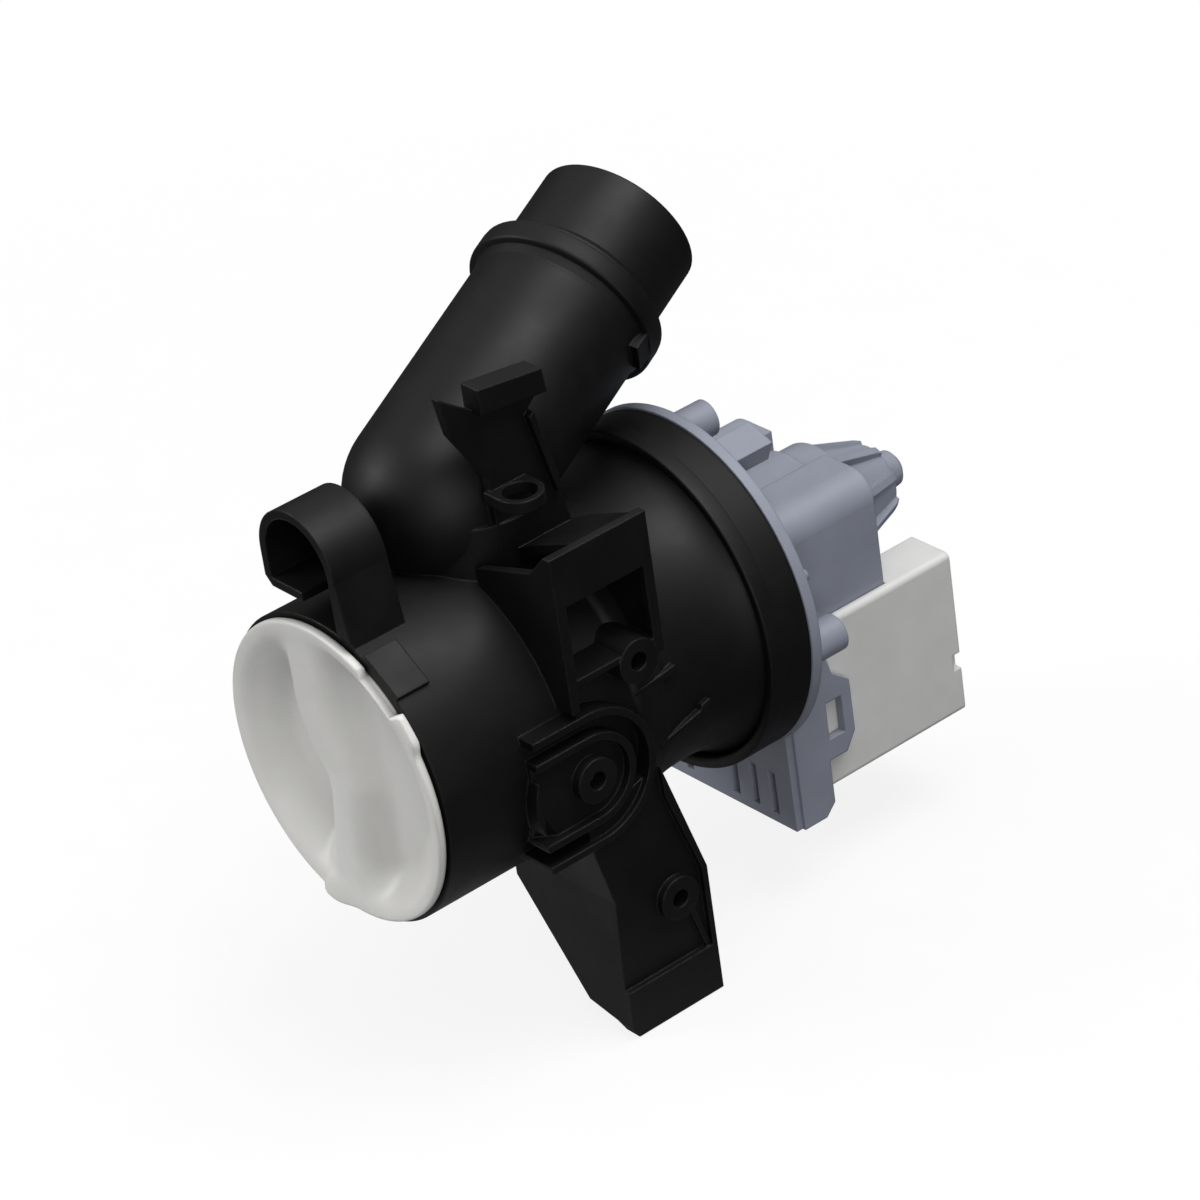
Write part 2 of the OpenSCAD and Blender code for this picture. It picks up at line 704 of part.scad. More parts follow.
// Rounded outline of one pole cover, shrunk evenly by a thickness
module cover_outline(in) {
    r = 7;
    intersection() {
        union() {
            translate([cover_hw - r, cover_top - r]) circle(r = r - in);
            translate([cover_in + in, block_top - 40])
                square([cover_hw - cover_in - 2 * in, cover_top - block_top + 40 - r]);
            translate([cover_in + in, block_top - 40])
                square([cover_hw - r - cover_in - in, cover_top - block_top + 40 - in]);
        }
        translate([0, block_top - 3]) square([80, 80]);
    }
}

// Cover over one pole of the stator, open below and towards the rotor's tube
module pole_cover() {
    difference() {
        cross_plate(plate_y, plate_rear + cover_len) cover_outline(0);
        cross_plate(plate_rear + 2, plate_rear + cover_len - cover_wall) {
            cover_outline(cover_wall);
            translate([cover_in - over, block_top - 5]) square([8, pole_top - block_top + 5]);
            translate([cover_in + cover_wall, block_top - 5])
                square([cover_hw - cover_in - 2 * cover_wall, 10]);
        }
    }
}

module nub() {
    y0 = plate_rear + rotor_tube_len;
    y1 = plate_rear + nub_len - 7;
    base_r = rotor_tube_in + 1.9;
    turned() polygon([
        [0, y0 - 1], [base_r, y0 - 1], [base_r, y0 + 8.6], [base_r - 3.4, y0 + 9.4], [8.6, y1], [0, y1]
    ]);
    along_y(y1 - over) cylinder(r1 = 5.6, r2 = 4.6, h = 6 + over);
    along_y(y1 + 6 - over) cylinder(r1 = 4.6, r2 = 3.4, h = 1 + over);
    for (i = [0 : nub_ribs - 1]) rotate([0, (i + 0.5) * 360 / nub_ribs, 0]) side_plate(-1.1, 1.1)
        polygon([[y0 + 4, 4], [y0 + 4, base_r - 1], [y0 + 9, base_r - 1], [y1 - 2, 10.6], [y1, 9.6],
            [y1, 4]]);
}

// Side latch of the flange, which holds the coil block
module side_latch() {
    side_plate(block_hw + play, plate_hw + 1) difference() {
        polygon([
            [plate_rear - 1, -13], [plate_rear + 5, -13], [plate_rear + 9, -14.5], [plate_rear + 11.6, -18],
            [plate_rear + 12.6, -22], [plate_rear + 17.6, -26], [plate_rear + 17.6, -40],
            [plate_rear + 14.6, -44.5], [plate_rear + 9, -44.5], [plate_rear + 9, -56],
            [plate_rear + 6, -plate_drop], [plate_rear - 1, -plate_drop]
        ]);
        translate([plate_rear + 9.6, -39]) square([5, 10]);
    }
}

module motor_flange() color(slate) difference() {
    union() {
        cross_plate(plate_y, plate_rear) plate_outline();
        along_y(spigot_y) cylinder(r = seat_r - play, h = plate_y - spigot_y + over);
        pole_cover();
        mirror([1, 0, 0]) pole_cover();
        along_y(plate_y) cylinder(r = rotor_tube_r, h = plate_t + rotor_tube_len);
        nub();
        side_latch();
        mirror([1, 0, 0]) side_latch();
        translate([-plate_hw, plate_rear - over, -plate_drop]) cube([2 * plate_hw, 7, 2.4]);
        for (a = bolt_angles) along_y(plate_rear - over) rotate([0, 0, -a])
            translate([bolt_circle_r, 0, 0]) cylinder(r = bolt_boss_r, h = bolt_boss_len + over);
        rotate([0, -67, 0]) translate([36.4, plate_rear - over, -4]) cube([5.6, 12 + over, 8]);
        rotate([0, -18, 0]) translate([39, plate_rear - over, 0]) along_y(0) cylinder(r = 1.6, h = 4);
    }
    along_y(spigot_y - over) cylinder(r = shield_r + run, h = shield_t + over);
    along_y(spigot_y + shield_t - over)
        cylinder(r = shield_r - 3, h = plate_y - spigot_y - shield_t - 1 + over);
    along_y(plate_y - over - 2) cylinder(r = rotor_tube_in, h = rear_pocket_y - plate_y + over + 2);
    along_y(rear_pocket_y - over) cylinder(r = rear_pocket_r, h = bearing_len + 1.6 + over);
    along_y(spigot_y + 1.4) difference() {
        cylinder(r = seat_r, h = 2.3);
        translate([0, 0, -over]) cylinder(r = seat_r - 2.3, h = 2.3 + 2 * over);
    }
    for (a = bolt_angles) along_y(plate_y - over) rotate([0, 0, -a]) translate([bolt_circle_r, 0, 0]) {
        cylinder(r = bolt_r + play, h = 40);
        translate([0, 0, over + plate_t + bolt_head_seat]) cylinder(r = bolt_head_r + play, h = 40);
    }
    for (s = [-1, 1], x = vent_x) translate([s * x - vent_w / 2, plate_y - over, vent_low - plate_drop])
        cube([vent_w, plate_t + 2 * over, vent_h]);
}

module flange_seal() color(rubber) o_ring(seat_r - 1.15 - 0.02, 1.13, spigot_y + 2.55);

module flange_screws() color(steel) for (a = bolt_angles) along_y(plate_y - bolt_reach) rotate([0, 0, -a])
    translate([bolt_circle_r, 0, 0]) difference() {
        head_z = bolt_reach + plate_t + bolt_head_seat;
        union() {
            cylinder(r = bolt_r, h = head_z);
            translate([0, 0, head_z]) cylinder(r = bolt_head_r, h = bolt_head_t);
        }
        for (turn = [0, 90]) rotate([0, 0, turn])
            translate([-bolt_slot[0] / 2, -bolt_slot[1] / 2, head_z + bolt_head_t - bolt_slot[2]])
                cube([bolt_slot[0], bolt_slot[1], bolt_slot[2] + over]);
    }

// Stack of sheets: two pole shoes round the rotor tube, two legs and a yoke
module stator_core() color([0.5, 0.5, 0.52]) cross_plate(stack_y, stack_y + stack_t) difference() {
    union() {
        translate([-pole_hw, -14.4]) square([2 * pole_hw, 14.4 + pole_top - 5]);
        translate([5 - pole_hw, -14.4]) square([2 * pole_hw - 10, 14.4 + pole_top]);
        for (s = [-1, 1]) translate([s * (leg_in + leg_out) / 2 - (leg_out - leg_in) / 2, yoke_low])
            square([leg_out - leg_in, 30 - yoke_low - 35]);
        translate([-leg_out, yoke_low]) square([2 * leg_out, yoke_h]);
    }
    circle(r = rotor_tube_r + play);
    translate([-cover_in, 0]) square([2 * cover_in, 60]);
    translate([-4, -30]) square([8, 30]);
}

// Rectangular sleeve round one leg, grown evenly by a thickness
module leg_sleeve(side, out, low, high) {
    mid = side * (leg_in + leg_out) / 2;
    translate([mid - (leg_out - leg_in) / 2 - out, stack_y - out, low])
        cube([leg_out - leg_in + 2 * out, stack_t + 2 * out, high - low]);
}

module coil_bobbins() color([0.93, 0.92, 0.86]) for (s = [-1, 1]) difference() {
    union() {
        leg_sleeve(s, bobbin_t, coil_low - flange_t, coil_top + flange_t);
        leg_sleeve(s, bobbin_t + coil_t, coil_low - flange_t, coil_low);
        leg_sleeve(s, bobbin_t + coil_t, coil_top, coil_top + flange_t);
    }
    leg_sleeve(s, 0.05, coil_low - 10, coil_top + 10);
}

module coil_windings() color(copper) for (s = [-1, 1]) difference() {
    leg_sleeve(s, bobbin_t + coil_t - 0.2, coil_low, coil_top);
    leg_sleeve(s, bobbin_t, coil_low - 10, coil_top + 10);
}

module stator_block() color(ivory) difference() {
    cross_plate(block_y, block_y + block_len) translate([-block_hw + 1.5, 1.5 - block_drop])
        offset(r = 1.5) square([2 * block_hw - 3, block_top + block_drop - 3]);
    translate([-block_hw + block_wall, block_y + block_wall, block_wall - block_drop])
        cube([2 * (block_hw - block_wall), coil_room_end - block_y - block_wall,
            block_top + block_drop - 2 * block_wall]);
    along_y(0) cylinder(r = rotor_tube_r + play, h = 300);
    translate([-pole_hw - play, stack_y - play, block_top - 5])
        cube([2 * (pole_hw + play), stack_t + 2 * play, 10]);
    for (s = [0, 1]) mirror([s, 0, 0]) translate([cover_in - play, 0, block_top - 3 - play])
        cube([cover_hw - cover_in + 2 * play, plate_rear + cover_len + play, 60]);
    translate([-12, coil_room_end + 2, blade_z - 7]) cube([24, 60, 14]);
    for (s = [-1, 1]) translate([s * blade_x - blade[0] / 2 - 0.02, coil_room_end - over,
        blade_z - blade[2] / 2 - 0.02])
        cube([blade[0] + 0.04, 6, blade[2] + 0.04]);
    translate([block_hw - 2, block_y + block_len - 2.4, -42]) cube([4, 4, 4.4]);
}

module thermal_cutout() color([0.15, 0.15, 0.16])
    translate([-cutout[0] / 2, stack_y + stack_t + bobbin_t + coil_t, cutout_z]) cube(cutout);

module terminal_blades() color(steel) for (s = [-1, 1])
    translate([s * blade_x - blade[0] / 2, coil_room_end - 3, blade_z - blade[2] / 2]) cube(blade);

pump_casing();
filter_cap();
filter_basket();
cap_seal();
impeller();
hub_cap();
drive_dog();
dog_cushion();
rotor_shaft();
rotor_magnet();
magnet_core();
thrust_washers();
bearing_shield();
shield_seal();
front_bearing();
front_bearing_mount();
rear_bearing();
rear_bearing_mount();
motor_flange();
flange_seal();
flange_screws();
stator_core();
coil_bobbins();
coil_windings();
stator_block();
thermal_cutout();
terminal_blades();
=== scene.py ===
"""A washing machine's drain pump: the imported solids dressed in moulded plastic, rubber and metal.

The row frame has +Y along the pump's axis from the filter cap to the motor, +X towards the screw bracket
and +Z up. The origin is on the axis, in the plane of the cap's front rim. Lengths are in metres, apart
from the outlines and sizes of the pieces made for the scene, which are in millimetres.
"""
import json
import math

import bmesh
import bpy
from mathutils import Matrix, Vector


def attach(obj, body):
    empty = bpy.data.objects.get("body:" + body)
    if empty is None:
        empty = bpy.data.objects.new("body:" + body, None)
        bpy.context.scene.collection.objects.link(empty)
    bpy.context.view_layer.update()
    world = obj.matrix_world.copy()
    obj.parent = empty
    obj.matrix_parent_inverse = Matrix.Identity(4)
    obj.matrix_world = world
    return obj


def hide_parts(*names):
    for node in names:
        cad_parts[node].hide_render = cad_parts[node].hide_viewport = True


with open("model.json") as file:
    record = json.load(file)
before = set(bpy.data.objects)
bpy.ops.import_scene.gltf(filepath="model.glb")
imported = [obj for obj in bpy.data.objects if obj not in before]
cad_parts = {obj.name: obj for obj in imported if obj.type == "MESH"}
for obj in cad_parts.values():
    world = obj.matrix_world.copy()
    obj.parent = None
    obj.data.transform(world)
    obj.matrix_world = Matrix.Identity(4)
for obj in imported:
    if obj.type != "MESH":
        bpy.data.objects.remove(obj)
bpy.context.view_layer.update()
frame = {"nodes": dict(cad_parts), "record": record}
parts = frame["nodes"]
MM = 0.001


# Shader tools

def group_tree(name, inputs, outputs):
    """A new shader group with float inputs {name: value} and outputs {name: socket type}."""
    tree = bpy.data.node_groups.new(name, "ShaderNodeTree")
    for label, value in inputs.items():
        socket = tree.interface.new_socket(label, in_out="INPUT", socket_type="NodeSocketFloat")
        socket.default_value = value
    for label, kind in outputs.items():
        tree.interface.new_socket(label, in_out="OUTPUT", socket_type=kind)
    return tree, tree.nodes.new("NodeGroupInput"), tree.nodes.new("NodeGroupOutput")


def add(tree, kind, links=None, **settings):
    """Adds a node, sets its properties, and fills its inputs from values or from other nodes' sockets."""
    made = tree.nodes.new(kind)
    for label, value in settings.items():
        setattr(made, label, value)
    for label, value in (links or {}).items():
        if isinstance(value, bpy.types.NodeSocket):
            tree.links.new(value, made.inputs[label])
        else:
            made.inputs[label].default_value = value
    return made


def maths(tree, operation, a, b=0.0, clamp=False):
    """One sum, product or other function of one or two values."""
    return add(tree, "ShaderNodeMath", {0: a, 1: b}, operation=operation, use_clamp=clamp).outputs[0]


def spread(tree, value, low, high, to_low=0.0, to_high=1.0):
    """Maps low..high onto to_low..to_high, and holds the ends beyond."""
    made = add(tree, "ShaderNodeMapRange", {"Value": value, "From Min": low, "From Max": high,
                                            "To Min": to_low, "To Max": to_high})
    return made.outputs["Result"]


def noise(tree, where, scale, detail=3.0, rough=0.5):
    """Cloudy noise between 0 and 1."""
    return add(tree, "ShaderNodeTexNoise",
               {"Vector": where, "Scale": scale, "Detail": detail, "Roughness": rough}).outputs[0]


def blend(tree, amount, first, second):
    """Mixes two colours. In a colour mix, sockets 0, 6 and 7 take the share and both colours."""
    made = add(tree, "ShaderNodeMix", {0: amount, 6: first, 7: second}, data_type="RGBA",
               clamp_factor=True)
    return made.outputs[2]


def rgba(colour, factor=1.0):
    """Makes a colour brighter or darker, and opaque."""
    return tuple(min(1.0, c * factor) for c in colour) + (1.0,)


# Effects that the materials share

# Most of a noise lies between these two values
NOISE_LOW = 0.3
NOISE_HIGH = 0.7
# Cosine of the angle between the surface's own normal and the rounded one, where wear on an edge begins
# and where it is full
EDGE_BEGINS = 0.985
EDGE_FULL = 0.8
# What noise and pits add to the height of the grain
NOISE_HEIGHT = 0.7
PITS_HEIGHT = 0.3
# Dust is part specks and part an even film
SPECKS = 0.6
EVEN_FILM = 0.4


def make_edge_group():
    """Rubbed edges: where the surface turns sharply, broken up by a fine noise, and the rounded normal."""
    tree, into, out = group_tree("rubbed_edges", {"Radius": 0.0005, "Breakup": 900.0},
                                 {"Edge": "NodeSocketFloat", "Rounded": "NodeSocketVector"})
    where = add(tree, "ShaderNodeTexCoord").outputs["Object"]
    facing = add(tree, "ShaderNodeNewGeometry").outputs["Normal"]
    rounded = add(tree, "ShaderNodeBevel", {"Radius": into.outputs["Radius"]}, samples=5).outputs["Normal"]
    turned = add(tree, "ShaderNodeVectorMath", {0: facing, 1: rounded}, operation="DOT_PRODUCT")
    sharp = spread(tree, turned.outputs["Value"], low=EDGE_BEGINS, high=EDGE_FULL)
    patchy = noise(tree, where, scale=into.outputs["Breakup"], detail=4.0, rough=0.6)
    broken = spread(tree, patchy, low=0.38, high=0.66)
    tree.links.new(maths(tree, "MULTIPLY", sharp, broken, clamp=True), out.inputs["Edge"])
    tree.links.new(rounded, out.inputs["Rounded"])
    return tree


def make_grain_group():
    """Spark-eroded mould grain, slow mottling and the streaks that the melt leaves along its flow."""
    tree, into, out = group_tree("mould_grain", {"Grain": 2600.0, "Mottle": 70.0, "Flow": 24.0},
                                 {"Height": "NodeSocketFloat", "Mottling": "NodeSocketFloat",
                                  "Streaks": "NodeSocketFloat"})
    where = add(tree, "ShaderNodeTexCoord").outputs["Object"]
    fine = noise(tree, where, scale=into.outputs["Grain"], detail=2.0, rough=0.55)
    pits = add(tree, "ShaderNodeTexVoronoi", {"Vector": where, "Scale": into.outputs["Grain"]},
               feature="SMOOTH_F1").outputs["Distance"]
    height = maths(tree, "ADD", maths(tree, "MULTIPLY", fine, NOISE_HEIGHT),
                   maths(tree, "MULTIPLY", pits, PITS_HEIGHT))
    drawn = add(tree, "ShaderNodeMapping", {"Vector": where, "Scale": (6.0, 1.0, 4.0)}).outputs["Vector"]
    mottling = noise(tree, where, scale=into.outputs["Mottle"], detail=4.0, rough=0.6)
    streaks = noise(tree, drawn, scale=into.outputs["Flow"], detail=3.0, rough=0.5)
    tree.links.new(height, out.inputs["Height"])
    tree.links.new(mottling, out.inputs["Mottling"])
    tree.links.new(streaks, out.inputs["Streaks"])
    return tree


def make_dust_group():
    """Fine dust that settles on what faces upwards, thicker in patches."""
    tree, into, out = group_tree("settled_dust", {"Amount": 0.2, "Patches": 45.0},
                                 {"Dust": "NodeSocketFloat"})
    where = add(tree, "ShaderNodeTexCoord").outputs["Object"]
    facing = add(tree, "ShaderNodeNewGeometry").outputs["Normal"]
    up = add(tree, "ShaderNodeSeparateXYZ", {0: facing}).outputs["Z"]
    level = spread(tree, up, low=0.1, high=0.95)
    cloud = noise(tree, where, scale=into.outputs["Patches"], detail=5.0, rough=0.65)
    patches = spread(tree, cloud, low=0.35, high=0.7)
    grit = noise(tree, where, scale=3200.0, detail=2.0, rough=0.6)
    specks = spread(tree, grit, low=0.45, high=0.75)
    film = maths(tree, "MULTIPLY", maths(tree, "MULTIPLY", level, patches),
                 maths(tree, "ADD", maths(tree, "MULTIPLY", specks, SPECKS), EVEN_FILM))
    tree.links.new(maths(tree, "MULTIPLY", film, into.outputs["Amount"], clamp=True), out.inputs["Dust"])
    return tree


rubbed_edges = make_edge_group()
mould_grain = make_grain_group()
settled_dust = make_dust_group()


def effect(tree, group, **values):
    """Adds one of the shared groups, with its inputs set by their names in lower case."""
    made = add(tree, "ShaderNodeGroup", node_tree=group)
    for label, value in values.items():
        made.inputs[label.capitalize()].default_value = value
    return made.outputs


# Materials

DUST_COLOUR = (0.42, 0.40, 0.37)
# How near another surface has to be for shade to be painted into a hollow
SHADE_REACH = 0.016
# Brightness of flow streaks and of the shade painted into hollows, in multiples of the moulding's own
# colour
STREAK_FACTOR = 1.7
HOLLOW_SHADE_FACTOR = 0.5
# How roughness swings with the mottling, grows under dust and falls on rubbed edges
ROUGH_SWING = 0.06
DUST_ROUGHENS = 0.35
WEAR_POLISHES = 0.12
# How much of a metal's rubbed edge is bright, and what a stain adds to its height
BRIGHT_EDGE = 0.6
STAIN_HEIGHT = 0.2
# Thickness of a punched sheet in the stator, and its colours
SHEET_THICKNESS = 0.0005
SHEET_DARK = (0.22, 0.23, 0.25, 1)
SHEET_PALE = (0.36, 0.36, 0.37, 1)
SEAM_COLOUR = (0.05, 0.05, 0.055, 1)
# Turns of wire in a metre of winding, how far they stray in metres, and their colours
WIRE_TURNS = 3300.0
WIRE_SWAY = 0.0006
WIRE_DARK = (0.50, 0.20, 0.09, 1)
WIRE_PALE = (0.64, 0.30, 0.13, 1)
BETWEEN_WIRES = (0.12, 0.04, 0.02, 1)


def new_material(name):
    """A new material with a plain shader; gives the material, its node tree and that shader."""
    made = bpy.data.materials.new(name)
    made.use_nodes = True
    tree = made.node_tree
    tree.nodes.clear()
    out = tree.nodes.new("ShaderNodeOutputMaterial")
    shader = tree.nodes.new("ShaderNodeBsdfPrincipled")
    tree.links.new(shader.outputs[0], out.inputs[0])
    return made, tree, shader


def finish_material(tree, shader, colour, rough, height, depth, rounded=None):
    """Wires colour, roughness and a bump whose full height is depth in metres."""
    tree.links.new(colour, shader.inputs["Base Color"])
    tree.links.new(rough, shader.inputs["Roughness"])
    bump = add(tree, "ShaderNodeBump", {"Height": height, "Strength": 1.0, "Distance": depth})
    if rounded is not None:
        tree.links.new(rounded, bump.inputs["Normal"])
    tree.links.new(bump.outputs[0], shader.inputs["Normal"])


def moulded(name, colour, rough, grain, depth, radius, wear, worn, dust, mottling, streaking,
            specular=0.5, hollow_shade=0.0):
    """Moulded plastic: grain, mottling, flow streaks, rubbed edges, dust and, where asked, shade painted
    into hollows.
    """
    made, tree, shader = new_material(name)
    shader.inputs["Specular IOR Level"].default_value = specular
    skin = effect(tree, mould_grain, grain=grain)
    edge = effect(tree, rubbed_edges, radius=radius)
    film = effect(tree, settled_dust, amount=dust)
    base = blend(tree, spread(tree, skin["Mottling"], low=NOISE_LOW, high=NOISE_HIGH),
                 rgba(colour, factor=1 - mottling), rgba(colour, factor=1 + mottling))
    streaked = spread(tree, skin["Streaks"], low=0.45, high=0.75, to_high=streaking)
    tint = blend(tree, streaked, base, rgba(colour, factor=STREAK_FACTOR))
    if hollow_shade:
        # Painted shade: ambient occlusion darkens the colour in hollows, standing in for the shade that
        # falls there
        occlusion = add(tree, "ShaderNodeAmbientOcclusion", {"Distance": SHADE_REACH}, samples=8)
        shade_share = spread(tree, occlusion.outputs["AO"], low=0.50, high=0.97, to_low=hollow_shade, to_high=0.0)
        tint = blend(tree, shade_share, tint, rgba(colour, factor=HOLLOW_SHADE_FACTOR))
    rubbed = blend(tree, maths(tree, "MULTIPLY", edge["Edge"], wear), tint, rgba(worn))
    dusted = blend(tree, film["Dust"], rubbed, rgba(DUST_COLOUR))
    uneven = spread(tree, skin["Mottling"], low=NOISE_LOW, high=NOISE_HIGH, to_low=rough - ROUGH_SWING,
                    to_high=rough + ROUGH_SWING)
    dusty = maths(tree, "MULTIPLY", film["Dust"], DUST_ROUGHENS)
    sheen = maths(tree, "ADD", uneven, dusty, clamp=True)
    smoothed = maths(tree, "MULTIPLY", edge["Edge"], WEAR_POLISHES)
    polished = maths(tree, "SUBTRACT", sheen, smoothed, clamp=True)
    finish_material(tree, shader, dusted, polished, skin["Height"], depth, rounded=edge["Rounded"])
    return made


def metal(name, colour, rough, turned):
    """Machined or drawn metal: fine tool lines round the pump's axis, tarnish and bright edges."""
    made, tree, shader = new_material(name)
    shader.inputs["Metallic"].default_value = 1.0
    where = add(tree, "ShaderNodeTexCoord").outputs["Object"]
    edge = effect(tree, rubbed_edges, radius=0.0003, breakup=1500.0)
    split = add(tree, "ShaderNodeSeparateXYZ", {0: where}).outputs
    along = add(tree, "ShaderNodeCombineXYZ", {"Y": split["Y"]}).outputs[0]
    lines = noise(tree, along, scale=9000.0, detail=2.0, rough=0.7)
    stain = noise(tree, where, scale=160.0, detail=5.0, rough=0.65)
    base = blend(tree, spread(tree, stain, low=0.35, high=0.7), rgba(colour, factor=1.06),
                 rgba(colour, factor=0.72))
    rubbed = maths(tree, "MULTIPLY", edge["Edge"], BRIGHT_EDGE)
    bright = blend(tree, rubbed, base, rgba(colour, factor=1.35))
    roughness = spread(tree, stain, low=0.3, high=0.75, to_low=rough - 0.07, to_high=rough + 0.12)
    height = maths(tree, "ADD", maths(tree, "MULTIPLY", lines, turned),
                   maths(tree, "MULTIPLY", stain, STAIN_HEIGHT))
    finish_material(tree, shader, bright, roughness, height, depth=6e-6, rounded=edge["Rounded"])
    return made


def stacked_sheets():
    """Edges of punched sheets, stacked along the pump's axis."""
    made, tree, shader = new_material("stacked_sheets")
    shader.inputs["Metallic"].default_value = 0.85
    where = add(tree, "ShaderNodeTexCoord").outputs["Object"]
    split = add(tree, "ShaderNodeSeparateXYZ", {0: where}).outputs
    phase = maths(tree, "FRACT", maths(tree, "MULTIPLY", split["Y"], 1 / SHEET_THICKNESS))
    off_middle = maths(tree, "ABSOLUTE", maths(tree, "SUBTRACT", phase, 0.5))
    seam = spread(tree, off_middle, low=0.36, high=0.5)
    tint = noise(tree, where, scale=420.0, detail=4.0, rough=0.6)
    base = blend(tree, spread(tree, tint, low=NOISE_LOW, high=NOISE_HIGH), SHEET_DARK, SHEET_PALE)
    dark = blend(tree, seam, base, SEAM_COLOUR)
    rough = spread(tree, tint, low=NOISE_LOW, high=NOISE_HIGH, to_low=0.35, to_high=0.55)
    height = maths(tree, "SUBTRACT", 1.0, seam)
    finish_material(tree, shader, dark, rough, height, depth=5e-5)
    return made


def enamelled_wire():
    """Layers of thin enamelled wire, wound round upright legs."""
    made, tree, shader = new_material("enamelled_wire")
    shader.inputs["Metallic"].default_value = 0.7
    shader.inputs["Coat Weight"].default_value = 0.5
    where = add(tree, "ShaderNodeTexCoord").outputs["Object"]
    split = add(tree, "ShaderNodeSeparateXYZ", {0: where}).outputs
    sway = maths(tree, "MULTIPLY", noise(tree, where, scale=120.0, detail=2.0), WIRE_SWAY)
    turns = maths(tree, "MULTIPLY", maths(tree, "ADD", split["Z"], sway), WIRE_TURNS)
    strand = maths(tree, "ABSOLUTE", maths(tree, "SINE", maths(tree, "MULTIPLY", turns, math.pi)))
    tint = noise(tree, where, scale=260.0, detail=3.0)
    base = blend(tree, spread(tree, tint, low=NOISE_LOW, high=NOISE_HIGH), WIRE_DARK, WIRE_PALE)
    shaded = blend(tree, spread(tree, strand, low=0.0, high=0.35), BETWEEN_WIRES, base)
    rough = spread(tree, tint, low=NOISE_LOW, high=NOISE_HIGH, to_low=0.28, to_high=0.42)
    finish_material(tree, shader, shaded, rough, strand, depth=8e-5)
    return made


# Grain is in cells to a metre, depth and radius are in metres, and the rest are shares or colours.
FINISHES = {
    "black_moulding": moulded(
        "black_moulding", colour=(0.0034, 0.0033, 0.0033), rough=0.50, grain=2300.0, depth=1.1e-5,
        radius=0.0006, wear=0.55, worn=(0.036, 0.036, 0.037), dust=0.010, mottling=0.22,
        streaking=0.16, specular=0.26),
    # The filter's white gets shade painted into its hollows, such as the cap's scoops
    "filter_white": moulded(
        "filter_white", colour=(0.73, 0.725, 0.70), rough=0.36, grain=2900.0, depth=3e-6,
        radius=0.0008, wear=0.25, worn=(0.82, 0.82, 0.80), dust=0.08, mottling=0.035,
        streaking=0.03, hollow_shade=0.85),
    "basket_white": moulded(
        "basket_white", colour=(0.64, 0.63, 0.59), rough=0.45, grain=2400.0, depth=6e-6,
        radius=0.0004, wear=0.2, worn=(0.74, 0.74, 0.70), dust=0.12, mottling=0.05, streaking=0.03),
    "seal_rubber": moulded(
        "seal_rubber", colour=(0.022, 0.022, 0.022), rough=0.74, grain=3400.0, depth=6e-6,
        radius=0.0003, wear=0.25, worn=(0.06, 0.06, 0.06), dust=0.10, mottling=0.3, streaking=0.05),
    "impeller_plastic": moulded(
        "impeller_plastic", colour=(0.56, 0.55, 0.50), rough=0.42, grain=2400.0, depth=6e-6,
        radius=0.0004, wear=0.2, worn=(0.66, 0.65, 0.61), dust=0.06, mottling=0.06, streaking=0.04),
    "machined_steel": metal("machined_steel", colour=(0.60, 0.60, 0.61), rough=0.26, turned=0.8),
    "magnet": moulded(
        "ground_ferrite", colour=(0.060, 0.060, 0.066), rough=0.42, grain=1700.0, depth=1.4e-5,
        radius=0.0004, wear=0.5, worn=(0.16, 0.16, 0.17), dust=0.03, mottling=0.35, streaking=0.08),
    "flange_grey": moulded(
        "flange_grey", colour=(0.240, 0.258, 0.315), rough=0.47, grain=2500.0, depth=7e-6,
        radius=0.0006, wear=0.3, worn=(0.40, 0.42, 0.47), dust=0.10, mottling=0.06, streaking=0.05),
    "bearing_carbon": moulded(
        "bearing_carbon", colour=(0.050, 0.048, 0.045), rough=0.38, grain=2000.0, depth=8e-6,
        radius=0.0003, wear=0.4, worn=(0.12, 0.12, 0.12), dust=0.02, mottling=0.25, streaking=0.06),
    "lamination": stacked_sheets(),
    "bobbin_cream": moulded(
        "bobbin_cream", colour=(0.66, 0.62, 0.50), rough=0.48, grain=2400.0, depth=6e-6,
        radius=0.0004, wear=0.2, worn=(0.76, 0.73, 0.64), dust=0.10, mottling=0.06, streaking=0.04),
    "copper_wire": enamelled_wire(),
    "block_white": moulded(
        "block_white", colour=(0.65, 0.65, 0.64), rough=0.50, grain=2600.0, depth=8e-6,
        radius=0.0007, wear=0.25, worn=(0.72, 0.72, 0.70), dust=0.12, mottling=0.04, streaking=0.03),
    "cutout_black": moulded(
        "cutout_black", colour=(0.024, 0.024, 0.026), rough=0.42, grain=2400.0, depth=8e-6,
        radius=0.0004, wear=0.4, worn=(0.09, 0.09, 0.09), dust=0.05, mottling=0.25, streaking=0.1),
    "tinned_brass": metal("tinned_brass", colour=(0.66, 0.64, 0.58), rough=0.30, turned=0.5),
}

slots = {entry["node"]: entry["material_slot"] for entry in frame["record"]["subparts"]}
for name, part in parts.items():
    part.data.materials.clear()
    part.data.materials.append(FINISHES[slots[name]])


# Tools for the pieces made for the scene, in millimetres

# An outline that starts nearer to the axis than this gets no closing edge.
ON_AXIS = 0.01
# Points closer than this many metres become one.
MERGED = 1e-6
# A rounding takes at most this share of a side.
ROUNDING_SHARE = 0.45


